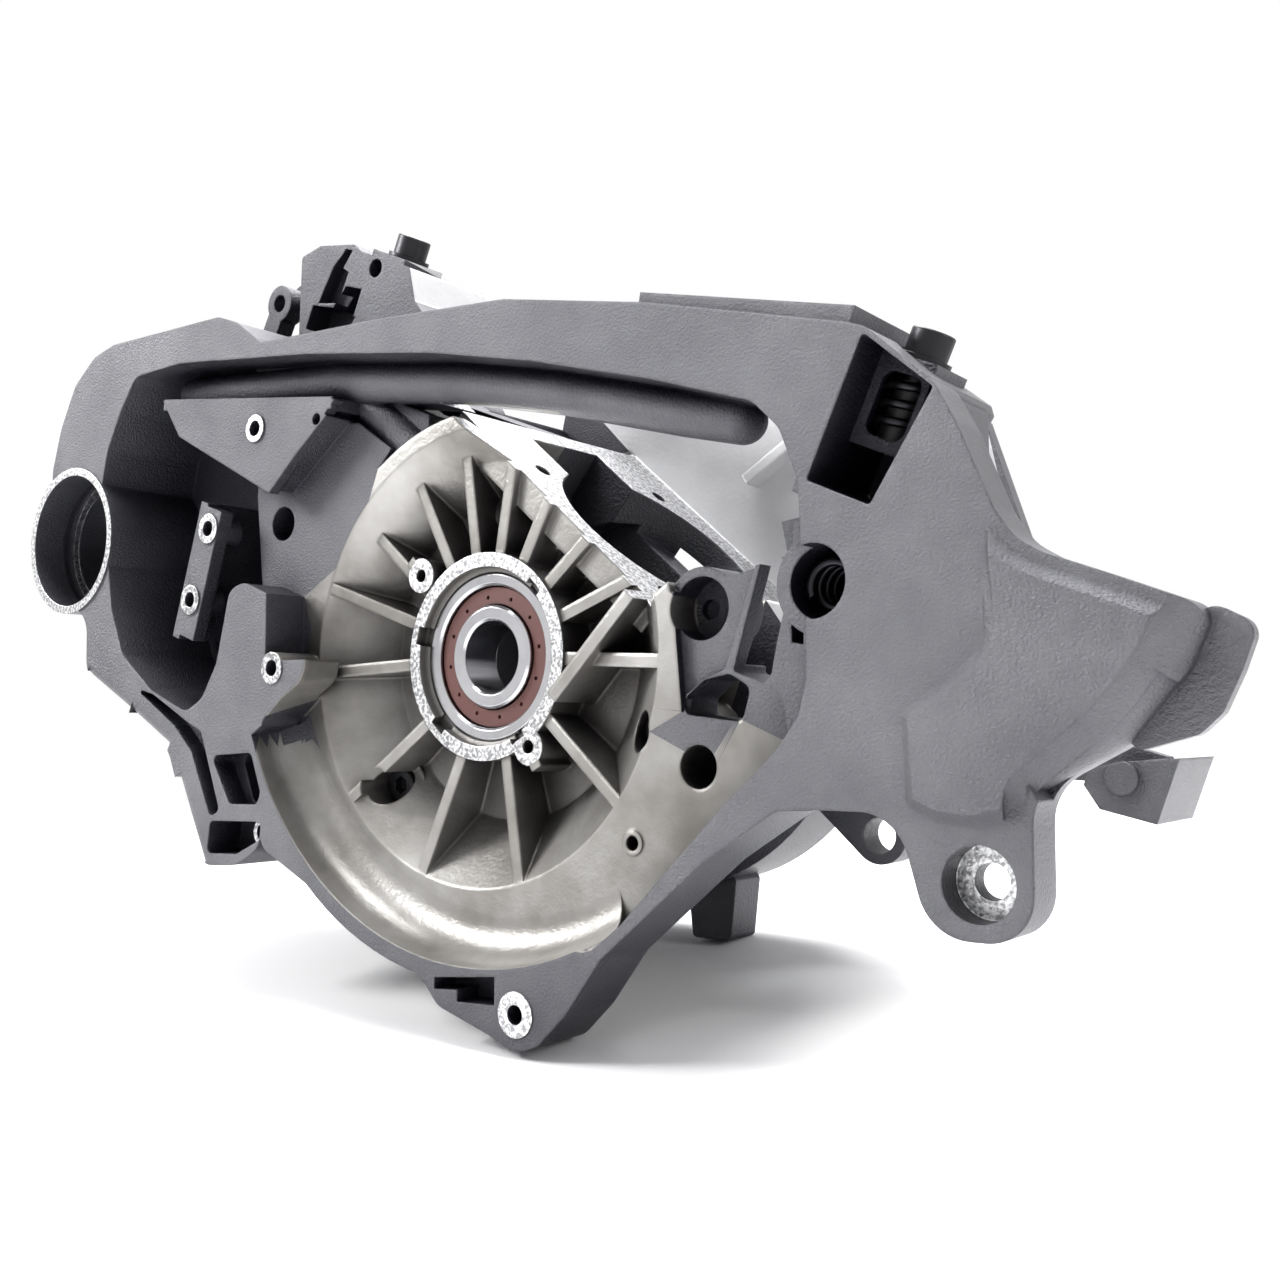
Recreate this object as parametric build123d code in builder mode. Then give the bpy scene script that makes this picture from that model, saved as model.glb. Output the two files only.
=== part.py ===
from build123d import *
from math import atan2, cos, degrees, hypot, radians, sin, tan
import os

# Crankcase of a chain saw, in millimetres. The origin is on the crank axis, at the middle of the fan side
# bearing. +X runs to the rear of the saw, +Y from the fan side to the clutch side, +Z up.
# A depth is a Y value, and an outline is a list of (x, z) points seen from the fan side.

# Depths of the main levels
rim = -24.0
plate_face = -12.0
plate_back = -8.0
hub_face = -8.3
bowl_floor = 2.0
beam_back = 0.0
wing_back = -14.0
parting = 28.0
gasket_thickness = 0.5
tank_back = 68.0
seat_back = 64.0
fan_mating = parting - gasket_thickness / 2
clutch_mating = parting + gasket_thickness / 2
well_front = 66.0
well_back = 84.0
belly_level = -84.0
rest_lean = 7.3
foot_depth = 12.0
front_foot_y = 44.0

# Main bearings, 17 x 40 x 12
bearing_bore_r = 8.5
bearing_outer_r = 20.0
bearing_width = 12.0
inner_ring_r = 12.25
outer_land_r = 16.8
ball_r = 3.3735
pitch_r = 14.25
race_clearance = 0.05
cage_clearance = 0.1
ball_count = 8
fan_bearing_y = 0.0
clutch_bearing_y = 2 * parting

# Crank chamber and hub
chamber_r = 37.5
chamber_half_width = 19.0
chamber_wall = 5.5
hub_r = 24.4
shoulder_r = 17.5

# Cylinder seat, a machined plane that leans to the rear
seat_tilt = 40.9
seat_distance = 38.7
seat_front = -47.0
seat_rear = 31.0
seat_thickness = 7.0
seat_half_width = 33.5
stud_along = 24.0
stud_across = 23.5
port_r = 28.2

# Fan chamber: a scroll wall round a centre off the crank axis, and a ribbed bowl
volute_x = 9.4
volute_z = 11.7
volute_r = 80.3
volute_wall = 3.8
volute_fillet = 9.5
bowl_r = 53.5
bowl_inner_r = 38.5
skin = 4.0

# Threads and screws
m5_core_r = 2.1
m5_r = 2.5
m5_clear_r = 2.75
m5_head_r = 4.25
m5_head_height = 5.0
m5_hex_r = 2.3
screw_column_r = 6.6
dowel_r = 4.0
dowel_bore_r = 2.8
dowel_length = 14.0

# Filler neck of the oil tank
filler_x = -150.8
filler_z = 38.0
filler_r = 21.4
filler_mouth_r = 19.2
filler_bore_r = 16.4
filler_step = -12.0

# Suspension springs of the handle frame
spring_lean = 24.7
wire_r = 0.9
coil_r = 4.3
coil_pitch = 3.4

tower_height = 18.0
tower_width = 13.0
tower_top = 3.0
spot_height = 12.0
tower_bore_r = 5.7
window_width = 8.4
window_shift = 1.0
window_top = 3.2
window_bottom = 15.5
washer_r = 5.3
washer_thickness = 1.0
rear_mount = (111.7, -8.0, 51.1)
front_mount = (-35.5, 0.0, 104.0)
rear_tower_front = -14.5
rear_tower_back = -1.5
front_tower_front = -6.5
front_tower_back = 6.5

screw_reach = 15.0
plug_top = 4.0
plug_foot = 15.5
plug_flange = 2.0
plug_r = 3.2
side_coil_r = 4.4
side_coil_pitch = 3.0
cage_pits = 12
screw_depth = 14.0
well_r = 60.0
web_front = 47.0
web_back = 51.0
bracket_front = 42.0
bracket_pin = (131.0, -27.0)
ring_lug = (68.0, -42.5)
ring_lug_front = 58.0

seat_normal = Vector(sin(radians(seat_tilt)), 0, cos(radians(seat_tilt)))
seat_run = Vector(cos(radians(seat_tilt)), 0, -sin(radians(seat_tilt)))


def depth(y):
    """The plane at depth y, drawn on in x and z, that faces the fan side."""
    return Plane.XZ.offset(-y)


def seat_point(along, below=0.0):
    """The (x, z) of a point on the cylinder seat, or below it."""
    point = seat_normal * (seat_distance - below) + seat_run * along
    return (point.X, point.Z)


def corner_radii(outline, corner):
    """A radius for each corner of an outline: the one wanted, or what its two edges leave room for."""
    radii = []
    for n, (x, z) in enumerate(outline):
        before, after = outline[n - 1], outline[(n + 1) % len(outline)]
        back = Vector(before[0] - x, before[1] - z, 0)
        ahead = Vector(after[0] - x, after[1] - z, 0)
        room = 0.45 * min(back.length, ahead.length)
        radii.append(min(corner, room * tan(radians(back.get_angle(ahead)) / 2)))
    return radii


def draw(outline, corner=0.0):
    """Draws a closed outline, its corners rounded as far as there is room if a radius is given."""
    if corner:
        FilletPolyline(*outline, radius=corner_radii(outline, corner), close=True)
    else:
        Polyline(*outline, close=True)


def outline_face(outline, y, corner=0.0):
    """The face with the given outline at depth y."""
    with BuildSketch(depth(y)) as face:
        with BuildLine():
            draw(outline, corner)
        make_face()
    return face.sketch


def slab(outline, front, back, mode=Mode.ADD, corner=0.0):
    """A slab with the given outline between two depths."""
    extrude(outline_face(outline, back, corner), amount=back - front, clean=False, mode=mode)


def post(x, z, radius, front, back, mode=Mode.ADD):
    """A round post or hole between two depths."""
    with BuildSketch(depth(back)) as face:
        with Locations((x, z)):
            Circle(radius)
    extrude(face.sketch, amount=back - front, clean=False, mode=mode)


def bar(start, end, width, front, back, mode=Mode.ADD):
    """A straight rib of even width from one (x, z) point to another."""
    run = (end[0] - start[0], end[1] - start[1])
    middle = ((start[0] + end[0]) / 2, (start[1] + end[1]) / 2)
    with BuildSketch(depth(back)) as face:
        with Locations(middle):
            Rectangle(hypot(*run), width, rotation=degrees(atan2(run[1], run[0])))
    extrude(face.sketch, amount=back - front, clean=False, mode=mode)


def lean_plane(x, y, z, lean):
    """The plane across an axis that leans from the vertical towards the rear."""
    normal = Vector(sin(radians(lean)), 0, cos(radians(lean)))
    return Plane(origin=(x, y, z), x_dir=(cos(radians(lean)), 0, -sin(radians(lean))), z_dir=normal)


def leaning_rod(base, radius, start, end, lean, mode=Mode.ADD):
    """A round rod or hole along an axis that leans to the rear, between two distances from its base point."""
    with BuildSketch(lean_plane(*base, lean).offset(start)) as face:
        Circle(radius)
    extrude(face.sketch, amount=end - start, clean=False, mode=mode)


def seat_hole(along, across, radius, start, end, mode=Mode.SUBTRACT):
    """A round hole or boss square to the cylinder seat, between two distances above it."""
    x, z = seat_point(along)
    leaning_rod((x, parting + across, z), radius, start, end, seat_tilt, mode)


def off_chamber(angle, gap):
    """The (x, z) of a point at an angle round the crank axis, a gap outside the crank chamber."""
    reach = chamber_r + gap
    return (reach * cos(radians(angle)), reach * sin(radians(angle)))


# Joint screws: x, z, the front of the column and the depth that the head sits at
joint_screws = [
    (-69.0, 37.0, plate_back - 1, 8.0), (*off_chamber(222.4, 8.5), 0.0, 3.0), (*off_chamber(-20.6, 12.2), 0.0, 3.0),
    (63.4, -24.6, plate_back - 1, 8.0),
]
joint_dowels = [off_chamber(170.1, 9.2), off_chamber(-40.4, 15.0)]
# The web that holds the foremost screw's column in the dry pocket, from its start to its end
column_web = ((-84.0, 37.0), (-69.0, 37.0))
column_web_width = 4.0

# Outlines of the outer wall, seen from the fan side
tank_outline = [
    (-60, -46), (-70.5, -51.4), (-85.3, -52.3), (-97, -29.7), (-100.5, -22.3), (-119.2, -12.5), (-141, -1.8),
    (-141.5, 17), (-158, 19), (-162, 26), (-162, 60), (-158, 72), (-151, 84), (-141, 91), (-131, 93), (-82, 92),
    (-74, 89), (-64, 82), (-60, 60),
]
beam_outline = [
    (-70, 50), (-70, 85.5), (-64, 82), (-20, 80), (20, 77), (58, 69), (104, 56.5), (108, 55), (121, 43),
    (121, 10), (90, -10), (80, 40), (20, 55), (-40, 66),
]
wing_outline = [
    (86, -31.5), (86, 20), (107, 55), (121, 43), (125, 35.5), (131.3, 20.2), (135, 14.6), (139.6, 11.8),
    (150, 7.7), (164.8, 1.6), (161.5, -6.5), (156.6, -13.5), (151, -19.5), (137.2, -27), (137.2, -52.2),
    (118.9, -52.2), (113, -31.5),
]
# The flange along the wing's rear edge, and the rolled edge of the wing beside it
wing_flange = [
    (162.5, 3.5), (170.5, -1), (168, -8), (165, -14.5), (161.5, -17.8), (152, -20.5), (150, -18), (156, -11),
    (160, -4),
]
wing_edge = [((137.2, -27), (151, -19.5)), ((148, -23), (159, -9.5)), ((155, -22), (166, 5))]
wing_edge_r = 7.0
lower_outline = [
    (101, 20), (101, -31.5), (88.7, -32), (72, -42.7), (47.7, -63), (38.7, -75), (31, -82.5), (27, belly_level),
    (23, belly_level), (18, -82), (2, -77.5), (-3, -72), (-61, -46), (-61, 0), (0, 0),
]
# The big opening, without its round lower edge
opening_outline = [
    (-120, 82), (-99, 82.3), (-46, 76), (-3, 69), (28, 62), (60, 53), (84, 45), (90, 39), (93.9, 28.7), (94.4, 19.3),
    (95.6, 2.7), (95.4, -8.6), (93.6, -14.8), (88.9, -20.9), (76.1, -32.5), (63.5, -45), (52.8, -55.7),
    (43.5, -63), (-64.6, -17.5), (-53.3, -9.1), (-46, -5), (-43.5, 4.2), (-42.9, 10.7), (-69.1, 20.5), (-75, 19),
    (-80, 0), (-86, -9), (-93, -12.5), (-109, -6.4), (-123, 3.6), (-129, 16.5), (-135.5, 53.5), (-133, 62.7),
    (-127, 73),
]
front_pocket_outline = [
    (-86, -9), (-93, -12.5), (-109, -6.4), (-123, 3.6), (-129, 16.5), (-135.5, 53.5), (-133, 62.7), (-127, 73),
    (-120, 82), (-99, 82.3), (-78, 80), (-80, 45), (-77, 19), (-80, 0),
]
tank_cavity_outline = [
    (-86, -18), (-101, -14), (-119, -6), (-136, 3), (-137, 21.5), (-154, 23), (-157.5, 29), (-157.5, 59), (-154, 70),
    (-148, 80), (-139, 86.5), (-131, 88), (-88, 87), (-86, 60),
]
bay_outline = [
    seat_point(seat_front - 4), seat_point(seat_rear), (56.7, 14), (62, 20.2), (66, 21.3),
    (96, 25), (96, 34), (90, 39), (84, 45), (60, 53), (28, 62), (-3, 69), (-24, 72.5),
]
back_outline = [
    (-86, -26), (-60, -30), (-36, -42), (0, -43.5), (36, -42), (70, -34), (74, -20), (74, 8), (60, 12),
    seat_point(seat_rear), seat_point(seat_front), (-40, 72), (-60, 84), (-86, 86),
]


# Radii of the rounded corners of the castings' outlines
wall_corner = 8.0
opening_corner = 6.0
cavity_corner = 4.0
window_corner = 2.0

# Where the scroll wall runs
scroll_zone = [(-46, -9), (-54, -12), (-66, -19), (-80, -60), (-20, -90), (30, -90), (47, -62), (40, -40), (0, -20)]


def scroll_face(radius, y):
    """The lower part of a disc round the scroll's centre, at depth y."""
    with BuildSketch(depth(y)) as face:
        with Locations((volute_x, volute_z)):
            Circle(radius)
        with BuildLine():
            Polyline(*scroll_zone, close=True)
        make_face(mode=Mode.INTERSECT)
    return face.sketch


def scroll_fillet():
    """The hollow corner between the fan chamber's floor and its scroll wall."""
    inner = volute_r - volute_fillet
    outer = volute_r + 1
    top = plate_face - volute_fillet
    with BuildPart(mode=Mode.PRIVATE) as ring:
        with BuildSketch(Plane(origin=(volute_x, 0, volute_z), x_dir=(1, 0, 0), z_dir=(0, 0, 1))):
            with BuildLine():
                Polyline((volute_r, top), (outer, top), (outer, plate_back), (inner, plate_back), (inner, plate_face))
                CenterArc((inner, top), volute_fillet, 0, 90)
            make_face()
        revolve(axis=Axis((volute_x, 0, volute_z), (0, 1, 0)), revolution_arc=360)
        extrude(outline_face(scroll_zone, plate_back), amount=30, mode=Mode.INTERSECT)
    add(ring.part)


def ring_shell(section):
    """A turned shell round the crank axis, from its (radius, depth) section."""
    with BuildPart(mode=Mode.PRIVATE) as shell:
        with BuildSketch(Plane(origin=(0, 0, 0), x_dir=(1, 0, 0), z_dir=(0, 0, 1))):
            with BuildLine():
                Polyline(*section, close=True)
            make_face()
        revolve(axis=Axis.Y, revolution_arc=360)
    add(shell.part)


def radial_rib(angle, outer_r, hub_front, outer_front, back, width=3.0):
    """A rib from the hub outwards, whose front edge slopes from the hub's depth to the outer depth."""
    heading = (cos(radians(angle)), 0, sin(radians(angle)))
    across = (sin(radians(angle)), 0, -cos(radians(angle)))
    with BuildSketch(Plane(origin=(0, 0, 0), x_dir=heading, z_dir=across)) as section:
        with BuildLine():
            Polyline((hub_r - 2, -hub_front), (outer_r, -outer_front), (outer_r, -back), (hub_r - 2, -back), close=True)
        make_face()
    extrude(section.sketch, amount=width / 2, both=True, clean=False)


def mating_face(y):
    """The face of the joint between the two castings, at depth y."""
    with BuildSketch(depth(y)) as face:
        for outline, corner in ((tank_outline, wall_corner), (back_outline, 0)):
            with BuildLine():
                draw(outline, corner)
            make_face()
        Circle(chamber_r + chamber_wall)
        pockets = [(tank_cavity_outline, cavity_corner), (bay_outline, 0), (dry_pocket, cavity_corner)]
        for outline, corner in pockets:
            with BuildLine():
                draw(outline, corner)
            make_face(mode=Mode.SUBTRACT)
        for x, z, *_ in joint_screws:
            with Locations((x, z)):
                Circle(screw_column_r)
        for x, z in joint_dowels:
            with Locations((x, z)):
                Circle(dowel_r + 3)
        web_start, web_end = column_web
        with Locations(((web_start[0] + web_end[0]) / 2, web_start[1])):
            Rectangle(web_end[0] - web_start[0], column_web_width)
        for outline, corner in ((window_outline, window_corner), (port_slot, 0)):
            with BuildLine():
                draw(outline, corner)
            make_face(mode=Mode.SUBTRACT)
        Circle(chamber_r, mode=Mode.SUBTRACT)
    return face.sketch


def edge_round(start, end, radius, mode=Mode.ADD):
    """What rounding takes off the lower front edge of a wall, from one (x, z) point to another."""
    run = Vector(end[0] - start[0], 0, end[1] - start[1])
    plane = Plane(origin=(start[0], rim, start[1]), x_dir=(0, 1, 0), z_dir=run.normalized())
    with BuildSketch(plane) as section:
        with BuildLine():
            CenterArc((radius, radius), radius, 180, 90)
            Polyline((radius, 0), (radius, -6), (-4, -6), (-4, radius), (0, radius))
        make_face()
    extrude(section.sketch, amount=run.length, mode=mode)


def rod(start, end, y, radius, mode=Mode.ADD):
    """A round rod or groove at depth y from one (x, z) point to another."""
    run = Vector(end[0] - start[0], 0, end[1] - start[1])
    with BuildSketch(Plane(origin=(start[0], y, start[1]), z_dir=run.normalized())) as section:
        Circle(radius)
    extrude(section.sketch, amount=run.length, clean=False, mode=mode)


def spring_tower(base, front, back):
    """The block under a captive screw, from the point under its washer."""
    with BuildSketch(lean_plane(*base, spring_lean).offset(-tower_height)) as section:
        Rectangle(tower_width, back - front)
    extrude(section.sketch, amount=tower_height)


def tower_bore(base):
    """The spring's bore in a tower, the screw's hole in the wall above it and the flat for its washer."""
    leaning_rod(base, washer_r + 0.7, 0, spot_height, spring_lean)
    leaning_rod(base, tower_bore_r, -tower_height - 1, -tower_top, spring_lean)
    leaning_rod(base, m5_clear_r, -tower_height, 1, spring_lean)


def spring_window(base, front):
    """The round-cornered window in the front of a spring tower."""
    x, y, z = base
    heading = (cos(radians(spring_lean)), 0, -sin(radians(spring_lean)))
    plane = Plane(origin=(x, front, z), x_dir=heading, z_dir=(0, -1, 0))
    with BuildSketch(plane) as section:
        with Locations((window_shift, -(window_top + window_bottom) / 2)):
            RectangleRounded(window_width, window_bottom - window_top, 2.2)
    extrude(section.sketch, amount=3, both=True)


def lug_arm(start, end, width, front, back, mode=Mode.ADD):
    """A bar with a round end at each of its two points."""
    bar(start, end, width, front, back, mode)
    for x, z in (start, end):
        post(x, z, width / 2, front, back, mode)


# Tapped bosses on the fan side: x, z, boss radius, face depth, back depth, hole radius, hole depth
tapped_bosses = [
    (46.9, -40.7, 2.6, -12.4, -2.0, 1.6, 8), (-70.7, 61.2, 3.6, -20.5, -12.0, m5_core_r, 8),
    (-90.0, 36.6, 4.0, -20.5, -12.0, m5_core_r, 8), (-97.4, 17.9, 4.0, -20.5, -12.0, m5_core_r, 8),
    (-57.2, -1.8, 4.0, -24.3, -12.0, m5_core_r, 12), (-64.5, -43.0, 3.4, -20.5, -12.0, m5_core_r, 8),
    (25.0, -76.7, 4.8, -24.2, -4.0, m5_core_r, 12), (-20.5, 20.2, 4.2, -8.7, 3.0, 1.6, 7),
    (14.5, -21.0, 4.2, -8.7, 3.0, 1.6, 7),
]
# Outlines of pockets, hollows and blocks
plate_pocket = [(57.7, 4), (57.5, 14.5), (75.6, 18.6), (78, 17.5), (70, -5), (65, -7), (60.5, -10), (59.5, -16)]
plate_slot = [(79, 17.6), (85.7, 15.6), (84.2, -1.5), (79.3, -8), (71.8, -5.5)]
plate_quarter = [(59.8, -14), (60.4, -10.4), (65, -7), (71, -5.9), (76, -8.8), (74, -15.6)]
quarter_wall = [(57.5, -16.5), (58, -9.4), (64, -4.8), (71.5, -3.8), (79.5, -8.5), (77, -18)]
ledge = [
    (90.7, 22.4), (89.8, 14.6), (89, 8.8), (86.3, -1.9), (85, -8.3), (88, -12), (89, -19), (97, -15), (98, 20),
]
ledge_face = -19.5
ledge_notch = [(89.7, 2.7), (92.4, 2.6), (92.3, -1.3), (89.8, -0.8)]
wing_hollow = [
    (106, -27.5), (106, 12), (119, 22), (122.5, 31), (128, 19), (131.5, 12.5), (137, 8), (148, 3.5), (156, -1),
    (154.5, -7.5), (148.5, -13.5), (133, -20.5), (130.5, -29), (118, -29),
]
wing_swell = [
    (129, 23), (127, 12), (128, 2), (127, -2.5), (120, -8.5), (112, -13), (113.2, -31.4), (120, -34.5),
    (127, -35.3), (136.5, -33), (136.9, -27.5), (149.5, -17.3), (154.4, -12), (159, -5.5), (161.8, 2.7),
    (150, 7.5), (139.5, 11.6), (134.8, 14.4),
]
rear_pocket = [(107.5, 54), (95.7, 28.5), (108.5, 22.6), (121, 42)]
rear_pocket_block = [(92, 27), (107, 20), (120.5, 42), (120, 44), (107, 55), (103, 54)]
front_block = [(-71, 84), (-70, 110.5), (-62.4, 112), (-49, 109.5), (-46, 107), (-28, 99), (-26, 90), (-18, 80)]
front_recess = [(-68, 90.5), (-65.2, 96.4), (-57, 94.2), (-52, 99), (-40, 95), (-46, 92), (-54, 84.3)]
front_notch = [(-63, 96.5), (-57, 105.3), (-52, 109), (-49.5, 108), (-53.2, 104), (-51, 102.5), (-55, 95)]
front_eye = (-82.5, 100.8)
tower_side = [
    (-52, 79), (-38.5, 70), (-29.8, 64.3), (-19, 60), (-19, 53), (-25.3, 47), (-60, 56.8), (-60.2, 62.5), (-54.2, 70),
]
front_web = [(-62, -4), (-62, 62), (-40, 60), (-28, 52), (-36, 44), (-50, 28), (-57, 8), (-57, -4)]
corner_valley = [
    (-117, -5.5), (-108, -7.5), (-91, -15.5), (-86, -17.5), (-77.5, -38), (-81.5, -39.5), (-90, -23), (-98, -16),
]
corner_recess = [(-81.3, -40.6), (-60.5, -40), (-61, -44.6), (-70, -48.5), (-82.5, -49)]
corner_edge = [((-141, -1.8), (-119.2, -12.5)), ((-119.2, -12.5), (-100.5, -22.3)), ((-97, -29.7), (-85.3, -52.3))]
corner_edge_r = 4.0
window_mouth = [(-81.4, -23.8), (-65, -22.9), (-61.5, -35.8), (-73.3, -36.1)]
bead_line = [(-110, 77), (-46, 71.5), (-3, 64.5), (28, 57.5), (60, 48.5), (74, 45)]
bead_y = -11.0
bead_r = 5.0
lobe_x = 127.7
lobe_z = -42.7
side_hole_x = 96.6
side_hole_z = 9.9
side_hole_r = 7.0
side_hole_back = -4.0
deep_hole = (63.0, 7.7)
deep_hole_r = 6.6
deep_hole_floor = -3.0
dry_pocket = [(-81, -18), (-81, 74), (-64, 72), (-58, 60), (-52, 30), (-54, 0), (-62, -18)]
far_wall = [
    seat_point(-50), (-40, 60), (-34, 84), (20, 84), (62, 75), (94, 56), (106, 20), (104, -28), (58, -30), (46, 0),
    seat_point(seat_rear),
]
far_arm = [(60, -8), (104, -14), (134, -23), (134, -29), (100, -28), (60, -28)]
far_bracket = [(124, -25), (132.4, -23.5), (142.3, -22.8), (137.6, -36.1), (126.2, -33.4), (123, -28.5)]


def foot_outline(top, left, right, y):
    """A foot whose far edge, at depth y, lies on the floor that the part leans back to."""
    level = belly_level + (y - plate_back) * tan(radians(rest_lean))
    return top + [(right, level), (left, level)]


rear_foot = foot_outline([(6, -56), (22, -56)], 8, 20, well_front + foot_depth)
front_foot = foot_outline([(-108, -14), (-74, -42)], -98, -84, front_foot_y + foot_depth)
window_outline = [(-76.4, -23.7), (-65, -22.9), (-61, -32.6), (-62, -35.6), (-71.1, -35.9)]
port_slot = [seat_point(-41, -1), seat_point(12, -1), seat_point(12, 30), seat_point(-20, 30), seat_point(-41, 14)]


# The cylinder's spigot bore and the way down to the crank chamber, shared by both castings
with BuildPart() as cylinder_port:
    seat_x, seat_z = seat_point(0)
    leaning_rod((seat_x, parting, seat_z), port_r, -10, 40, seat_tilt)
    leaning_rod((seat_x, parting, seat_z), chamber_half_width, -seat_distance, 1, seat_tilt)
    slab(port_slot, parting - 13, parting + 13)
    post(0, 0, chamber_r, parting - chamber_half_width, parting + chamber_half_width)


# Fan side casting, first its walls: full depth round the oil tank, less at the beam, the wing and the scroll
with BuildPart() as fan_walls:
    slab(wing_outline, rim, wing_back, Mode.ADD, 9.5)
    for start, end in wing_edge:
        edge_round(start, end, wing_edge_r, Mode.SUBTRACT)
    slab(wing_flange, rim + wing_edge_r, wing_back, Mode.ADD, 3.0)
    slab(tank_outline, rim, fan_mating, Mode.ADD, wall_corner)
    for start, end in corner_edge:
        edge_round(start, end, corner_edge_r, Mode.SUBTRACT)
    slab(beam_outline, rim, beam_back, Mode.ADD, opening_corner)
    slab(lower_outline, rim, plate_back, Mode.ADD, opening_corner)
    extrude(scroll_face(volute_r + volute_wall, plate_back), amount=plate_back - rim)
    slab(opening_outline, rim, plate_face, Mode.SUBTRACT, opening_corner)
    extrude(scroll_face(volute_r, plate_face), amount=plate_face - rim, mode=Mode.SUBTRACT)
    scroll_fillet()
    slab(back_outline, fan_mating - 8, fan_mating)
    post(0, 0, chamber_r + chamber_wall, fan_mating - 8, fan_mating)
    slab(front_pocket_outline, rim, 6, Mode.SUBTRACT, opening_corner)
    slab(tank_cavity_outline, 10, fan_mating, Mode.SUBTRACT, cavity_corner)
    slab(bay_outline, plate_face, fan_mating, Mode.SUBTRACT)
    slab(front_web, plate_face, plate_back)
    post(0, 0, bowl_r, plate_face - 1, plate_back, Mode.SUBTRACT)
    slab(corner_valley, rim, rim + 5, Mode.SUBTRACT, 1.5)
    slab(corner_recess, rim, rim + 10, Mode.SUBTRACT, 1.5)
    slab(window_mouth, rim, rim + 6, Mode.SUBTRACT, 1.5)
    slab(dry_pocket, plate_back + 2, fan_mating, Mode.SUBTRACT, cavity_corner)
    slab(rear_pocket_block, rim + 1, 4)
    slab(rear_pocket, rim, beam_back, Mode.SUBTRACT, 0.8)
    slab(wing_hollow, rim + skin, wing_back, Mode.SUBTRACT, 1.5)
    slab(plate_pocket, plate_face, plate_face + 2, Mode.SUBTRACT, 1.0)

# Bowl, hub, ribs and cylinder seat
with BuildPart() as fan_core:
    ring_shell([
        (bowl_r, plate_face), (bowl_r + skin, plate_face), (bowl_r + skin, plate_back),
        (chamber_r + chamber_wall, bowl_floor + 4), (chamber_r + chamber_wall, fan_mating),
        (chamber_r, fan_mating), (chamber_r, bowl_floor + 7), (hub_r - 3, bowl_floor + 7),
        (hub_r - 3, bowl_floor), (bowl_inner_r, bowl_floor),
    ])
    for angle in (159.4, 183, 219.5, 252.4, 286, 322.6, 357):
        radial_rib(angle, bowl_r + 1, hub_face + 1, plate_face, bowl_floor + 1)
    for angle in (140, 118, 98, 80, 62, 40, 20):
        radial_rib(angle, bowl_r + 1, hub_face + 1, hub_face + 1, bowl_floor + 1)
    bar((24, -10), (46, 12), 3, plate_face, bowl_floor + 1)
    slab(bay_outline, plate_face - 1, fan_mating, Mode.SUBTRACT)
    post(0, 0, hub_r, hub_face, bowl_floor + 7)
    slab([seat_point(seat_front), seat_point(seat_rear), (42, -8), (0, 0), (-38, 20)], bowl_floor, fan_mating)
    slab([seat_point(seat_front), seat_point(seat_rear), seat_point(seat_rear, seat_thickness),
          seat_point(seat_front, seat_thickness)], parting - seat_half_width, bowl_floor + 1)
    for along in (-stud_along, stud_along):
        seat_hole(along, -stud_across, 5.2, -16, 0, Mode.ADD)

# Bosses, blocks and brackets
with BuildPart() as fan_fittings:
    slab(front_block, front_tower_front, 20, Mode.ADD, 1.0)
    slab(front_recess, front_tower_front - 1, front_tower_front + 7, Mode.SUBTRACT)
    slab(front_notch, front_tower_front - 1, front_tower_front + 4, Mode.SUBTRACT)
    spring_tower(front_mount, front_tower_front, front_tower_back)
    spring_tower(rear_mount, rear_tower_front, rear_tower_back)
    lug_arm(front_eye, (-88, 91), 6, -4, 1)
    lug_arm((front_eye[0], front_eye[1] + 2.5), (-72, 98), 6, 4, 9)
    for front, back, raised in ((-4, 1, 0), (4, 9, 2.5)):
        post(front_eye[0], front_eye[1] + raised, 5, front, back)
    for x, z, radius, face, back, *_ in tapped_bosses:
        post(x, z, radius, face, back)
    for x, z, angle in ((-20.5, 20.2, 135), (14.5, -21, -62)):
        bar((x, z), (x + 5.5 * cos(radians(angle)), z + 5.5 * sin(radians(angle))), 3, hub_face - 0.4, bowl_floor)
    for x, z, front, seat in joint_screws:
        post(x, z, screw_column_r, front, fan_mating)
    bar(*column_web, column_web_width, fan_mating - screw_depth, fan_mating)
    for x, z in joint_dowels:
        post(x, z, dowel_r + 3, fan_mating - 12, fan_mating)
    post(*deep_hole, deep_hole_r + 2, plate_face + 2, deep_hole_floor + 3)
    slab(quarter_wall, plate_back - 1, 0, Mode.ADD, 2.0)
    slab(ledge, ledge_face, plate_back)
    slab(ledge_notch, ledge_face - 1, ledge_face + 6, Mode.SUBTRACT)
    post(side_hole_x, side_hole_z, side_hole_r + 3, ledge_face, side_hole_back + 3)
    extrude(outline_face(wing_swell, rim + 1.5, 1.5), amount=3.3, taper=50)
    slab([(56, 66), (57, 71.5), (105.5, 59.5), (104, 54)], rim + 1, beam_back)
    for start, end in zip(bead_line, bead_line[1:]):
        rod(start, end, bead_y, bead_r)
        with Locations((end[0], bead_y, end[1])):
            Sphere(bead_r)
    post(filler_x, filler_z, filler_r, rim - 0.5, 10)
    slab([(-112.5, 74.7), (-40, 64.5), (-65, 43.7), (-104.5, 63.5)], rim + 4, rim + 7)
    bar((-112, 73.5), (-41, 63.8), 3, rim + 4, 7)
    bar((-66, 46), (-44, 62), 3, rim + 4, plate_face + 1)
    bar((-88.5, 42), (-100, 8), 8, rim + 4, rim + 8)
    bar((-92, 44), (-104, 8), 3, rim + 4, 7)
    slab(tower_side, -8, 8)
    rod((-50, 72), (-21, 50), -6, 5)

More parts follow.
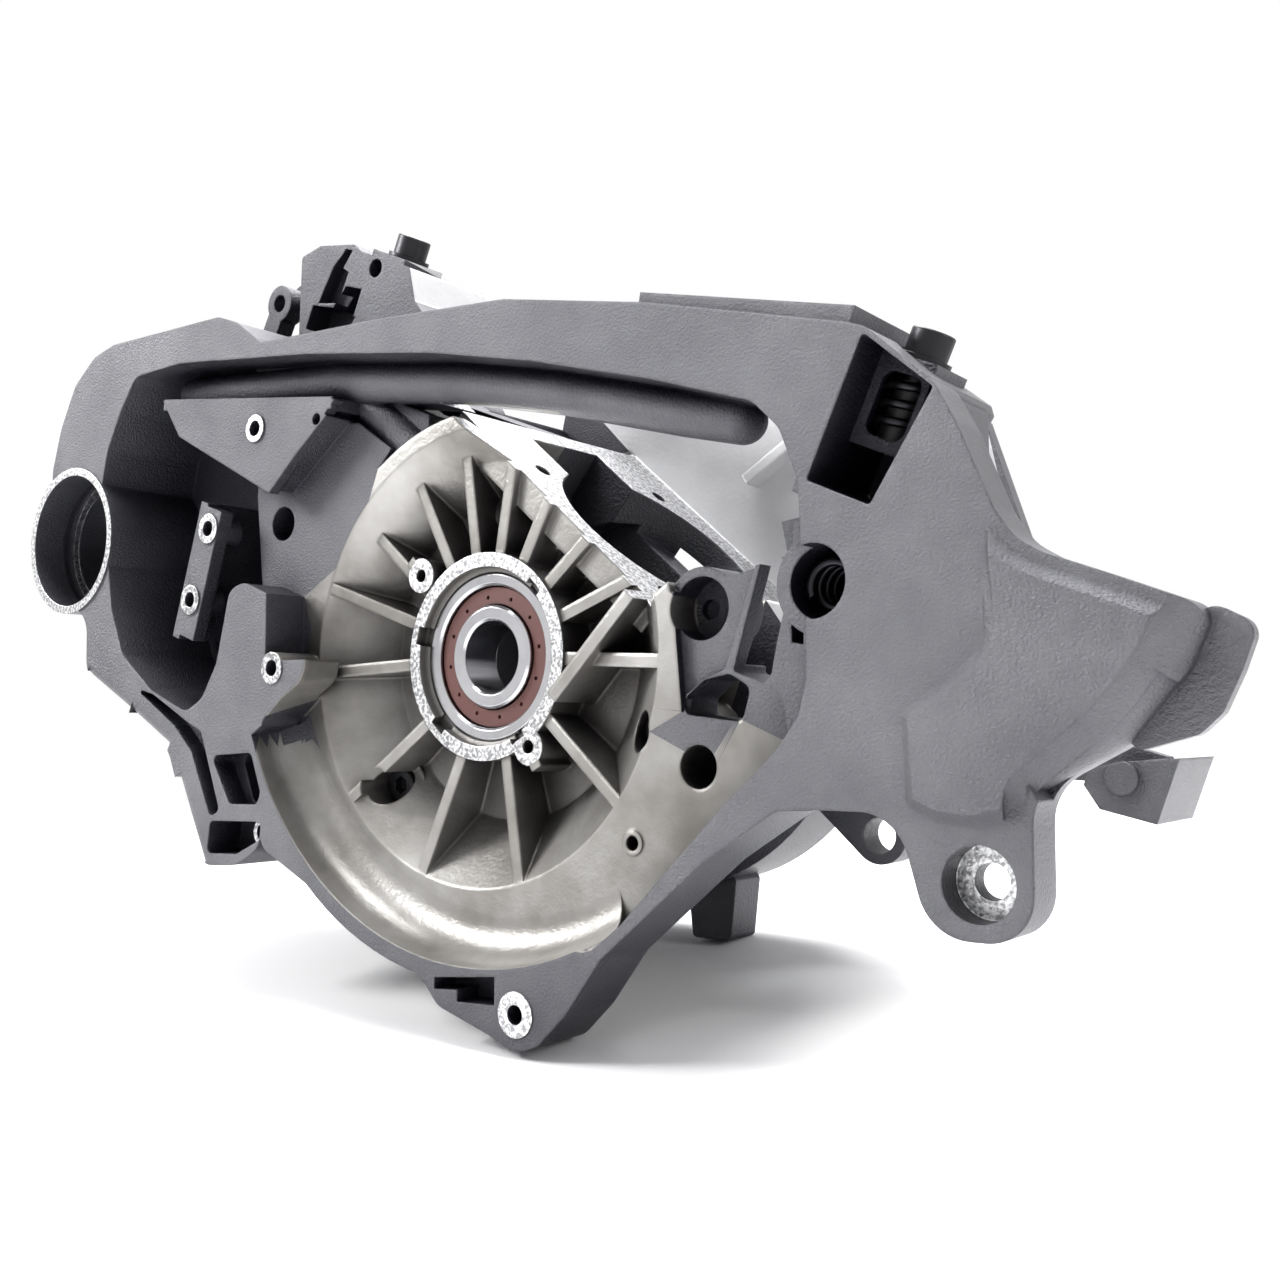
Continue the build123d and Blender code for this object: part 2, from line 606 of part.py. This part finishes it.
# Everything bored or cut last
with BuildPart() as fan_cuts:
    post(0, 0, bearing_outer_r, hub_face - 1, bearing_width / 2)
    post(0, 0, bearing_outer_r + 1.1, hub_face - 1, -bearing_width / 2)
    post(0, 0, shoulder_r, hub_face - 1, bowl_floor + 8)
    for angle in (45, 165, 228, 300):
        c, n = cos(radians(angle)), sin(radians(angle))
        bar((18 * c, 18 * n), (22.6 * c, 22.6 * n), 4.5, hub_face - 1, hub_face + 3.2)
    for x, z, radius, face, back, hole_r, hole_depth in tapped_bosses:
        post(x, z, hole_r, face - 1, face + hole_depth)
    for x, z, front, seat in joint_screws:
        post(x, z, m5_head_r + 0.25, rim - 1, seat)
        post(x, z, m5_clear_r, rim - 1, fan_mating + 1)
    for x, z in joint_dowels:
        post(x, z, dowel_r, fan_mating - dowel_length / 2, fan_mating + 1)
    for along in (-stud_along, stud_along):
        seat_hole(along, -stud_across, m5_core_r, -14, 1, Mode.ADD)
    post(*deep_hole, deep_hole_r, plate_face - 1, deep_hole_floor)
    post(deep_hole[0] - 2.6, deep_hole[1] + 0.4, m5_core_r, plate_face - 1, deep_hole_floor + 2)
    slab(plate_slot, plate_face - 1, fan_mating + 1, Mode.ADD, 1.0)
    slab(plate_quarter, plate_face - 1, 1, Mode.ADD, 2.0)
    post(side_hole_x, side_hole_z, side_hole_r, rim - 1, side_hole_back)
    post(lobe_x, lobe_z, 6.55, rim - 4, rim + 6)
    post(lobe_x, lobe_z, 3.2, rim - 4, wing_back + 1)
    for mount in (rear_mount, front_mount):
        tower_bore(mount)
    spring_window(rear_mount, rear_tower_front)
    post(*front_eye, 2.4, -5, 14)
    post(-40.7, 101.4, 2.4, front_tower_front - 1, front_tower_front + 7)
    post(filler_x, filler_z, filler_mouth_r, rim - 1, filler_step)
    post(filler_x, filler_z, filler_mouth_r + 0.8, filler_step - 3.2, filler_step - 1.2)
    post(filler_x, filler_z, filler_bore_r, filler_step - 1, 11)
    post(-46.7, 60.4, 1.5, rim, rim + 8)
    slab([(-122, 4), (-104, 4), (-104, 14), (-124, 14)], 4, 9, Mode.ADD, 3.0)
    slab(window_outline, rim - 1, fan_mating + 1, Mode.ADD, window_corner)
    rod((-28, 55.3), (-19, 48.5), -6, 3.6)
    slab([(1, -71.5), (19, -69.5), (19, -75.5), (8, -76), (8, -73.5), (1, -74)], rim - 1, rim + 7)

with BuildPart() as crankcase_fan_side:
    add(fan_walls.part)
    add(fan_core.part)
    add(fan_fittings.part)
    add(fan_cuts.part, mode=Mode.SUBTRACT)
    add(cylinder_port.part, mode=Mode.SUBTRACT)
crankcase_fan_side.part.label = "crankcase_fan_side"

# Clutch side casting, first its walls: oil tank, flange, bowl of the clutch and the wall beyond the cylinder
with BuildPart() as clutch_walls:
    slab(tank_outline, clutch_mating, tank_back, Mode.ADD, wall_corner)
    slab(tank_cavity_outline, clutch_mating, tank_back - 4, Mode.SUBTRACT, cavity_corner)
    slab(back_outline, clutch_mating, clutch_mating + 8)
    post(0, 0, chamber_r + chamber_wall, clutch_mating, clutch_mating + 8)
    slab(dry_pocket, clutch_mating, tank_back - 4, Mode.SUBTRACT, cavity_corner)
    slab(bay_outline, clutch_mating, seat_back, Mode.SUBTRACT)
    slab(far_wall, seat_back, well_front + 2)

with BuildPart() as clutch_core:
    ring_shell([
        (chamber_r, clutch_mating), (chamber_r + chamber_wall, clutch_mating), (chamber_r + chamber_wall, 45),
        (well_r, well_front - 4), (well_r, well_back), (well_r - 3.5, well_back), (well_r - 3.5, well_front),
        (41, web_back), (hub_r - 3, web_back), (hub_r - 3, web_front), (chamber_r, web_front),
    ])
    slab(bay_outline, clutch_mating - 1, seat_back, Mode.SUBTRACT)
    slab([seat_point(seat_front), seat_point(seat_rear), (42, -8), (0, 0), (-38, 20)], clutch_mating, web_back + 3)
    slab([seat_point(seat_front), seat_point(seat_rear), seat_point(seat_rear, seat_thickness),
          seat_point(seat_front, seat_thickness)], web_back, seat_back + 1)
    for along in (-stud_along, stud_along):
        seat_hole(along, stud_across, 5.2, -16, 0, Mode.ADD)
    post(0, 0, hub_r, web_front, clutch_bearing_y + bearing_width / 2 + 2)

# Ribs, columns, arms and feet
with BuildPart() as clutch_fittings:
    for angle in (200, 245, 290, 325, 0):
        bar((23 * cos(radians(angle)), 23 * sin(radians(angle))),
            (55 * cos(radians(angle)), 55 * sin(radians(angle))), 3, web_front + 2, well_front - 3)
    for start, end in (((30, 48), (66, 70)), ((52, 30), (88, 52)), ((70, 14), (100, 30))):
        bar(start, end, 3, seat_back - 6, seat_back + 1)
    for x, z, *_ in joint_screws:
        post(x, z, screw_column_r, clutch_mating, clutch_mating + screw_depth + 3)
    for x, z in joint_dowels:
        post(x, z, dowel_r + 3, clutch_mating, clutch_mating + 12)
    bar((-64, 64), (-36, 66), 10, clutch_mating + 4, tank_back)
    bar(*column_web, column_web_width, clutch_mating, clutch_mating + screw_depth)
    slab(far_arm, seat_back, well_front + 2)
    slab(far_bracket, bracket_front, well_front + 2)
    post(*bracket_pin, 3.4, bracket_front - 1.2, bracket_front + 1)
    lug_arm(ring_lug, (52, -28), 14, ring_lug_front, ring_lug_front + 8)
    slab(rear_foot, well_front, well_front + foot_depth, Mode.ADD, 1.5)
    slab(front_foot, front_foot_y, front_foot_y + foot_depth, Mode.ADD, 1.5)

with BuildPart() as clutch_cuts:
    bearing_mouth = clutch_bearing_y + bearing_width / 2 + 3
    post(0, 0, bearing_outer_r, clutch_bearing_y - bearing_width / 2, bearing_mouth)
    post(0, 0, shoulder_r, web_front - 1, bearing_mouth)
    for x, z, *_ in joint_screws:
        post(x, z, m5_r, clutch_mating - 1, clutch_mating + screw_depth)
    for x, z in joint_dowels:
        post(x, z, dowel_r, clutch_mating - 1, clutch_mating + dowel_length / 2 - gasket_thickness)
    for along in (-stud_along, stud_along):
        seat_hole(along, stud_across, m5_core_r, -14, 1, Mode.ADD)
    post(*ring_lug, 4.3, ring_lug_front - 1, ring_lug_front + 9)
    slab(window_outline, clutch_mating - 1, tank_back + 1, Mode.ADD, window_corner)

with BuildPart() as crankcase_clutch_side:
    add(clutch_walls.part)
    add(clutch_core.part)
    add(clutch_fittings.part)
    add(clutch_cuts.part, mode=Mode.SUBTRACT)
    add(cylinder_port.part, mode=Mode.SUBTRACT)
crankcase_clutch_side.part.label = "crankcase_clutch_side"

with BuildPart() as crankcase_gasket:
    extrude(mating_face(clutch_mating), amount=gasket_thickness)
    for x, z, *_ in joint_screws:
        post(x, z, m5_clear_r, fan_mating - 1, clutch_mating + 1, Mode.SUBTRACT)
    for x, z in joint_dowels:
        post(x, z, dowel_r, fan_mating - 1, clutch_mating + 1, Mode.SUBTRACT)
crankcase_gasket.part.label = "crankcase_gasket"


def race(y):
    """Cuts the ball track of a bearing at depth y."""
    with Locations(Location((0, y, 0), (90, 0, 0))):
        Torus(pitch_r, ball_r + race_clearance, mode=Mode.SUBTRACT)


def bearing_ring(y, inner_r, outer_r):
    """A bearing ring with chamfered edges, from its bore radius and outer radius."""
    half = bearing_width / 2
    edge = 0.6
    with BuildPart() as ring:
        ring_shell([
            (inner_r + edge, y - half), (outer_r - edge, y - half), (outer_r, y - half + edge),
            (outer_r, y + half - edge), (outer_r - edge, y + half), (inner_r + edge, y + half),
            (inner_r, y + half - edge), (inner_r, y - half + edge),
        ])
        race(y)
    return ring.part


def bearing_cage(y, outward):
    """The moulded snap cage: a crown with its closed face outwards and a pocket for each ball."""
    closed = y + outward * 4.6
    open_side = y - outward * 2.0
    with BuildPart() as cage:
        post(0, 0, outer_land_r - 0.35, min(closed, open_side), max(closed, open_side))
        post(0, 0, inner_ring_r + 0.35, y - 6, y + 6, Mode.SUBTRACT)
        with Locations(Location((0, y, 0), (90, 0, 0))):
            with PolarLocations(pitch_r, ball_count):
                Sphere(ball_r + cage_clearance, mode=Mode.SUBTRACT)
        with Locations(Location((0, closed, 0), (90, 0, 0))):
            with PolarLocations(pitch_r, cage_pits, start_angle=8):
                Cylinder(0.5, 1.6, mode=Mode.SUBTRACT)
    return cage.part


def bearing_balls(y):
    """The balls of one bearing."""
    with BuildPart() as balls:
        with Locations(Location((0, y, 0), (90, 0, 0))):
            with PolarLocations(pitch_r, ball_count):
                Sphere(ball_r)
    return balls.part


def cap_screw(plane, length):
    """A hexagon socket cap screw whose head stands on the plane and whose shank goes down from it."""
    with BuildPart() as screw:
        with BuildSketch(plane.offset(-length)):
            Circle(m5_r)
        extrude(amount=length)
        with BuildSketch(plane):
            Circle(m5_head_r)
        extrude(amount=m5_head_height)
        with BuildSketch(plane.offset(m5_head_height)):
            RegularPolygon(m5_hex_r, 6)
        extrude(amount=-m5_head_height / 2, mode=Mode.SUBTRACT)
        head_rim = screw.edges().filter_by(GeomType.CIRCLE).filter_by(lambda e: abs(e.radius - m5_head_r) < 0.01)
        top = max(head_rim, key=lambda e: plane.to_local_coords(e.center()).Z)
        fillet(top, 0.5)
    return screw.part


def mount_washer(base):
    """The flat washer under a captive screw."""
    plane = lean_plane(*base, spring_lean)
    with BuildPart() as washer:
        with BuildSketch(plane):
            Circle(washer_r)
            Circle(m5_clear_r, mode=Mode.SUBTRACT)
        extrude(amount=washer_thickness)
    return washer.part


def mount_screw(base):
    """The captive screw of a suspension spring, down into its plug."""
    return cap_screw(lean_plane(*base, spring_lean).offset(washer_thickness), screw_reach)


def mount_plug(base):
    """The moulded plug that the captive screw draws up inside the spring."""
    plane = lean_plane(*base, spring_lean)
    with BuildPart() as plug:
        with BuildSketch(plane.offset(-plug_foot - plug_flange)):
            Circle(tower_bore_r - 0.3)
        extrude(amount=plug_flange)
        with BuildSketch(plane.offset(-plug_foot)):
            Circle(plug_r)
        extrude(amount=plug_foot - plug_top)
        with BuildSketch(plane.offset(washer_thickness - screw_reach)):
            Circle(m5_r)
        extrude(amount=screw_reach, mode=Mode.SUBTRACT)
    return plug.part


def coil_spring(plane, radius, pitch, length):
    """A round wire coil spring that stands on the plane."""
    with BuildPart() as spring:
        with BuildLine():
            coil = Helix(pitch, length, radius, center=plane.origin, direction=plane.z_dir)
        with BuildSketch(Plane(origin=coil @ 0, z_dir=coil % 0)):
            Circle(wire_r)
        sweep(path=coil, is_frenet=True)
    return spring.part


def mount_spring(base):
    """The suspension spring in a tower, between the wall over it and the plug's flange."""
    plane = lean_plane(*base, spring_lean).offset(-plug_foot + wire_r)
    return coil_spring(plane, coil_r, coil_pitch, plug_foot - tower_top - 2 * wire_r)


# Joint screws and dowel sleeves
with BuildPart() as crankcase_screws:
    for x, z, front, seat in joint_screws:
        add(cap_screw(Plane(origin=(x, seat, z), z_dir=(0, -1, 0)), clutch_mating + screw_depth - 2 - seat))
crankcase_screws.part.label = "crankcase_screws"

with BuildPart() as dowel_sleeves:
    for x, z in joint_dowels:
        post(x, z, dowel_r, fan_mating - dowel_length / 2, clutch_mating + dowel_length / 2 - gasket_thickness)
        post(x, z, dowel_bore_r, 0, 60, Mode.SUBTRACT)
dowel_sleeves.part.label = "dowel_sleeves"

side_spring_plane = Plane(origin=(side_hole_x, side_hole_back - wire_r, side_hole_z), z_dir=(0, -1, 0))
with BuildPart() as side_spring:
    add(coil_spring(side_spring_plane, side_coil_r, side_coil_pitch, 11.5))
side_spring.part.label = "side_spring"

pieces = [
    crankcase_fan_side.part, crankcase_clutch_side.part, crankcase_gasket.part, crankcase_screws.part,
    dowel_sleeves.part, side_spring.part,
]
for side, y, outward in (("fan", fan_bearing_y, -1), ("clutch", clutch_bearing_y, 1)):
    made = {
        "outer_ring": bearing_ring(y, outer_land_r, bearing_outer_r),
        "inner_ring": bearing_ring(y, bearing_bore_r, inner_ring_r),
        "cage": bearing_cage(y, outward),
        "balls": bearing_balls(y),
    }
    for piece_name, piece in made.items():
        piece.label = f"{side}_bearing_{piece_name}"
        pieces.append(piece)
for place, base in (("rear", rear_mount), ("front", front_mount)):
    made = {
        "screw": mount_screw(base),
        "washer": mount_washer(base),
        "spring": mount_spring(base),
        "plug": mount_plug(base),
    }
    for piece_name, piece in made.items():
        piece.label = f"{place}_mount_{piece_name}"
        pieces.append(piece)

os.makedirs("parts", exist_ok=True)
for piece in pieces:
    export_step(piece, f"parts/{piece.label}.step")
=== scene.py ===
import bpy
import math
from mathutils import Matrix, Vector

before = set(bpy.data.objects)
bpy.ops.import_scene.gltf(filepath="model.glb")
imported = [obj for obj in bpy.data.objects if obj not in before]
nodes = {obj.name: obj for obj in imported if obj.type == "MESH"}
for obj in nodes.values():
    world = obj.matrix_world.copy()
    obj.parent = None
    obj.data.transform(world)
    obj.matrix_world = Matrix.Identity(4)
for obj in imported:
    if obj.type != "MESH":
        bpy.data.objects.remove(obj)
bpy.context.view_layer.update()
MM = 0.001


# Materials
def new_material(name):
    """A material with its node tree and shader."""
    material = bpy.data.materials.new(name)
    material.use_nodes = True
    tree = material.node_tree
    return material, tree, tree.nodes["Principled BSDF"]


def object_coords(tree):
    return tree.nodes.new("ShaderNodeTexCoord").outputs["Object"]


def noise(tree, scale, detail, roughness):
    """A noise texture in object coordinates."""
    texture = tree.nodes.new("ShaderNodeTexNoise")
    texture.inputs["Scale"].default_value = scale
    texture.inputs["Detail"].default_value = detail
    texture.inputs["Roughness"].default_value = roughness
    tree.links.new(object_coords(tree), texture.inputs["Vector"])
    return texture.outputs["Fac"]


def ramp(tree, value, stops):
    """A colour ramp from (position, colour) stops."""
    node = tree.nodes.new("ShaderNodeValToRGB")
    elements = node.color_ramp.elements
    while len(elements) < len(stops):
        elements.new(0.5)
    for element, (position, colour) in zip(elements, stops):
        element.position = position
        element.color = (*colour, 1.0)
    tree.links.new(value, node.inputs["Fac"])
    return node.outputs["Color"]


def bump(tree, height, distance, edge_radius):
    """A bump of the given height in metres, over rounded edges if an edge radius is given."""
    node = tree.nodes.new("ShaderNodeBump")
    node.inputs["Strength"].default_value = 1.0
    node.inputs["Distance"].default_value = distance
    tree.links.new(height, node.inputs["Height"])
    if edge_radius:
        edge = tree.nodes.new("ShaderNodeBevel")
        edge.samples = 6
        edge.inputs["Radius"].default_value = edge_radius
        tree.links.new(edge.outputs["Normal"], node.inputs["Normal"])
    return node.outputs["Normal"]


def painted_shade_in_hollows(tree, reach, dark):
    """Painted shade: a tone from the dark colour in deep hollows up to white on open faces."""
    occlusion = tree.nodes.new("ShaderNodeAmbientOcclusion")
    occlusion.samples = 6
    occlusion.inputs["Distance"].default_value = reach
    return ramp(tree, occlusion.outputs["AO"], [(0.30, dark), (0.92, (1.0, 1.0, 1.0))])


def multiply(tree, first, second):
    """The product of two colours."""
    node = tree.nodes.new("ShaderNodeMix")
    node.data_type = "RGBA"
    node.blend_type = "MULTIPLY"
    node.inputs["Factor"].default_value = 1.0
    tree.links.new(first, node.inputs["A"])
    tree.links.new(second, node.inputs["B"])
    return node.outputs["Result"]


def metal(name, tones, metallic, rough, grain, edge_radius=0.0, patch=40.0, spread=(0.3, 0.7), hollow_painted_shade=None):
    """A metal with two tones in patches, a fine grain, rounded edges and painted shade in its hollows.

    grain is its scale per metre and its depth in metres, and patch the scale of the patches per metre.
    spread is where the two tones lie in the noise; the last argument sets the painted shade in hollows.
    """
    material, tree, shader = new_material(name)
    shader.inputs["Metallic"].default_value = metallic
    shader.inputs["Roughness"].default_value = rough
    tone = ramp(tree, noise(tree, patch, 4.0, 0.6), list(zip(spread, tones)))
    # Painted shade: the base colour darkens where the hollows would lie in shade
    if hollow_painted_shade:
        tone = multiply(tree, tone, painted_shade_in_hollows(tree, *hollow_painted_shade))
    tree.links.new(tone, shader.inputs["Base Color"])
    grain_scale, grain_depth = grain
    relief = bump(tree, noise(tree, grain_scale, 3.0, 0.7), grain_depth, edge_radius)
    tree.links.new(relief, shader.inputs["Normal"])
    return material


def plastic(name, colour, rough):
    """A plain material of one colour."""
    material, _, shader = new_material(name)
    shader.inputs["Base Color"].default_value = (*colour, 1.0)
    shader.inputs["Roughness"].default_value = rough
    return material


# The cast alloy darkens to a blue-violet painted shade in its hollows
cast = metal(
    "cast_alloy", ((0.085, 0.085, 0.095), (0.135, 0.135, 0.145)), 0.45, 0.36, (1500.0, 0.0005),
    edge_radius=0.0009, hollow_painted_shade=(0.05, (0.10, 0.10, 0.16)),
)
# The bowl's smoother, more metallic cast finish is real; its lighter warm mottled tones are painted
# reflection
bowl_cast_painted_reflection = metal(
    "cast_alloy_bowl_painted_reflection", ((0.16, 0.15, 0.135), (0.44, 0.43, 0.415)), 0.55, 0.34, (700.0, 0.00012),
    edge_radius=0.0012, patch=28.0, hollow_painted_shade=(0.016, (0.10, 0.09, 0.09)),
)
# Painted light: a much lighter copy of the cast alloy for the bay walls, as if lit from above
painted_light_bay = metal(
    "cast_alloy_painted_light_bay", ((0.62, 0.62, 0.63), (0.76, 0.76, 0.77)), 0.3, 0.38, (900.0, 0.0001),
    edge_radius=0.0010,
)
machined = metal(
    "machined_alloy", ((0.30, 0.30, 0.31), (0.85, 0.85, 0.86)), 1.0, 0.3, (1500.0, 0.00012),
    edge_radius=0.0003, patch=1100.0, spread=(0.42, 0.56),
)
ground_steel = metal(
    "ground_steel", ((0.42, 0.42, 0.44), (0.62, 0.62, 0.64)), 1.0, 0.2, (2500.0, 0.00001),
    edge_radius=0.0003,
)
black_steel = metal(
    "black_oxide", ((0.012, 0.012, 0.014), (0.022, 0.022, 0.026)), 0.6, 0.38, (1500.0, 0.00003),
    edge_radius=0.0003,
)
spring_steel = metal(
    "spring_steel", ((0.02, 0.02, 0.024), (0.04, 0.04, 0.045)), 0.9, 0.30, (1200.0, 0.00002),
)
cage_plastic = plastic("cage_polyamide", (0.10, 0.035, 0.03), 0.45)
black_plastic = plastic("black_plastic", (0.012, 0.012, 0.014), 0.5)
gasket_fibre = plastic("gasket_fibre", (0.08, 0.085, 0.09), 0.8)

finishes = {
    "crankcase_fan_side": cast, "crankcase_clutch_side": cast, "crankcase_gasket": gasket_fibre,
    "crankcase_screws": black_steel, "dowel_sleeves": ground_steel, "side_spring": spring_steel,
}
for side in ("fan", "clutch"):
    for piece in ("outer_ring", "inner_ring", "balls"):
        finishes[f"{side}_bearing_{piece}"] = ground_steel
    finishes[f"{side}_bearing_cage"] = cage_plastic
for place in ("rear", "front"):
    finishes[f"{place}_mount_screw"] = black_steel
    finishes[f"{place}_mount_washer"] = black_steel
    finishes[f"{place}_mount_spring"] = spring_steel
    finishes[f"{place}_mount_plug"] = black_plastic
for name, material in finishes.items():
    mesh = nodes[name].data
    mesh.materials.clear()
    mesh.materials.append(material)

# Places on the castings, in millimetres. The crank axis is at x = z = 0.
# Machined faces: the depth, then the x, z and radius of the circle they lie in
machined_faces = [
    (-20.5, -70.7, 61.2, 3.8), (-20.5, -90.0, 36.6, 4.2), (-20.5, -97.4, 17.9, 4.2),
    (-24.3, -57.2, -1.8, 4.2), (-20.5, -64.5, -43.0, 3.6), (-24.2, 25.0, -76.7, 5.0),
    (-8.7, -20.5, 20.2, 4.4), (-8.7, 14.5, -21.0, 4.4), (-8.3, 0.0, 0.0, 24.6),
    (-24.5, -150.8, 38.0, 21.6), (-12.0, -150.8, 38.0, 19.3), (-18.0, 127.7, -42.7, 6.6),
]
seat_tilt = math.radians(40.9)
seat_normal = Vector((math.sin(seat_tilt), 0, math.cos(seat_tilt)))
seat_distance = 38.7
rim_back = -23.9
joint_back = 28.5
bowl_reach = 58
scroll_x, scroll_z, scroll_reach = 9.4, 11.7, 81
scroll_top = -20
beam_back = -0.5
bay_left, bay_right = -30, 97


def is_machined(centre, normal):
    """Whether a face of a casting was cut to size after casting."""
    if abs(centre.dot(seat_normal) - seat_distance) < 0.1 and normal.dot(seat_normal) > 0.99:
        return True
    if normal.y > -0.98:
        return False
    return any(
        abs(centre.y - y) < 0.12 and math.hypot(centre.x - x, centre.z - z) < r
        for y, x, z, r in machined_faces
    )


def in_bowl(centre):
    """Whether a face lies in the ribbed bowl or the scroll below it, which take the painted reflection."""
    in_scroll = centre.z < scroll_top and math.hypot(centre.x - scroll_x, centre.z - scroll_z) < scroll_reach
    return rim_back < centre.y < joint_back and (math.hypot(centre.x, centre.z) < bowl_reach or in_scroll)


def in_painted_light_bay(centre, normal):
    """Whether a bay face over the cylinder seat, looking neither back nor up, gets painted light."""
    over_seat = centre.dot(seat_normal) > seat_distance + 0.5 and bay_left < centre.x < bay_right
    return over_seat and centre.y > beam_back and normal.y < 0.3 and normal.z < 0.6


for name in ("crankcase_fan_side", "crankcase_clutch_side"):
    mesh = nodes[name].data
    # Extra slots: machined faces, the bowl with painted reflection, the bay with painted light
    for material in (machined, bowl_cast_painted_reflection, painted_light_bay):
        mesh.materials.append(material)
    for polygon in mesh.polygons:
        centre = polygon.center / MM
        if is_machined(centre, polygon.normal):
            polygon.material_index = 1
        elif in_painted_light_bay(centre, polygon.normal):
            polygon.material_index = 3
        elif in_bowl(centre):
            polygon.material_index = 2

# Floor: the plane through the belly and the far edges of the two feet
belly = Vector((25, -8, -84)) * MM
rest_lean = math.radians(7.3)
bpy.ops.mesh.primitive_plane_add(size=6.0, location=belly)
floor = bpy.context.object
floor.name = "studio_floor"
floor.rotation_euler = (rest_lean, 0, 0)
floor_material, tree, shader = new_material("studio_floor")
shader.inputs["Base Color"].default_value = (0.93, 0.93, 0.93, 1)
shader.inputs["Roughness"].default_value = 0.7


def seen_rays(tree):
    """1 for the rays that show the background: from the camera, in reflections and through glass."""
    path = tree.nodes.new("ShaderNodeLightPath")
    total = path.outputs["Is Camera Ray"]
    for kind in ("Is Glossy Ray", "Is Transmission Ray"):
        node = tree.nodes.new("ShaderNodeMath")
        node.operation = "MAXIMUM"
        tree.links.new(total, node.inputs[0])
        tree.links.new(path.outputs[kind], node.inputs[1])
        total = node.outputs[0]
    return total


# Away from the part the floor turns to plain white
distance = tree.nodes.new("ShaderNodeVectorMath")
distance.operation = "LENGTH"
tree.links.new(object_coords(tree), distance.inputs[0])
fade = tree.nodes.new("ShaderNodeMapRange")
fade.inputs["From Min"].default_value = 0.2
fade.inputs["From Max"].default_value = 0.45
tree.links.new(distance.outputs["Value"], fade.inputs["Value"])
share = tree.nodes.new("ShaderNodeMath")
share.operation = "MULTIPLY"
tree.links.new(fade.outputs["Result"], share.inputs[0])
tree.links.new(seen_rays(tree), share.inputs[1])
white = tree.nodes.new("ShaderNodeEmission")
white.inputs["Strength"].default_value = 1.0
floor_mix = tree.nodes.new("ShaderNodeMixShader")
tree.links.new(share.outputs[0], floor_mix.inputs[0])
tree.links.new(shader.outputs["BSDF"], floor_mix.inputs[1])
tree.links.new(white.outputs["Emission"], floor_mix.inputs[2])
tree.links.new(floor_mix.outputs["Shader"], tree.nodes["Material Output"].inputs["Surface"])
floor.data.materials.append(floor_material)

# World: white behind the part, and a studio that is pale above and dark below to light it
world = bpy.data.worlds.new("studio")
bpy.context.scene.world = world
world.use_nodes = True
tree = world.node_tree
tree.nodes.clear()
output = tree.nodes.new("ShaderNodeOutputWorld")
mix = tree.nodes.new("ShaderNodeMixShader")
seen = tree.nodes.new("ShaderNodeBackground")
seen.inputs["Color"].default_value = (1, 1, 1, 1)
seen.inputs["Strength"].default_value = 1.0
lighting = tree.nodes.new("ShaderNodeBackground")
lighting.inputs["Strength"].default_value = 1.0
direction = tree.nodes.new("ShaderNodeTexCoord")
split = tree.nodes.new("ShaderNodeSeparateXYZ")
tree.links.new(direction.outputs["Generated"], split.inputs["Vector"])
height = tree.nodes.new("ShaderNodeMapRange")
height.inputs["From Min"].default_value = -1.0
tree.links.new(split.outputs["Z"], height.inputs["Value"])
sky_stops = [(0.45, (0.04, 0.04, 0.05)), (0.62, (0.16, 0.16, 0.18)), (0.85, (0.8, 0.8, 0.83))]
tree.links.new(ramp(tree, height.outputs["Result"], sky_stops), lighting.inputs["Color"])
tree.links.new(seen_rays(tree), mix.inputs["Fac"])
tree.links.new(lighting.outputs["Background"], mix.inputs[1])
tree.links.new(seen.outputs["Background"], mix.inputs[2])
tree.links.new(mix.outputs["Shader"], output.inputs["Surface"])


def area_light(name, place, target, size, energy):
    """A square soft light that points at a target."""
    data = bpy.data.lights.new(name, "AREA")
    data.size = size
    data.energy = energy
    light = bpy.data.objects.new(name, data)
    bpy.context.scene.collection.objects.link(light)
    light.location = place
    light.rotation_mode = "QUATERNION"
    light.rotation_quaternion = (Vector(target) - Vector(place)).to_track_quat("-Z", "Y")


area_light("overhead", (-0.1, 0.1, 0.75), (0, 0, 0), 0.6, 20.0)
area_light("front_left", (-0.6, -0.45, 0.45), (0, 0, 0), 0.25, 8.0)
area_light("right", (0.8, 0.1, 0.3), (0.1, 0, 0), 0.3, 2.0)

# Camera, as the photograph was taken
camera_data = bpy.data.cameras.new("camera")
camera_data.lens = 37.97
camera_data.clip_start = 0.01
camera = bpy.data.objects.new("camera", camera_data)
bpy.context.scene.collection.objects.link(camera)
azimuth = math.radians(36.96)
elevation = math.radians(-3.76)
back = Vector((
    math.sin(azimuth) * math.cos(elevation), -math.cos(azimuth) * math.cos(elevation), math.sin(elevation),
))
camera.location = (0.2185, -0.2377, -0.0169)
camera.rotation_mode = "QUATERNION"
camera.rotation_quaternion = (-back).to_track_quat("-Z", "Y")
bpy.context.scene.camera = camera
bpy.context.scene.view_settings.view_transform = "Standard"
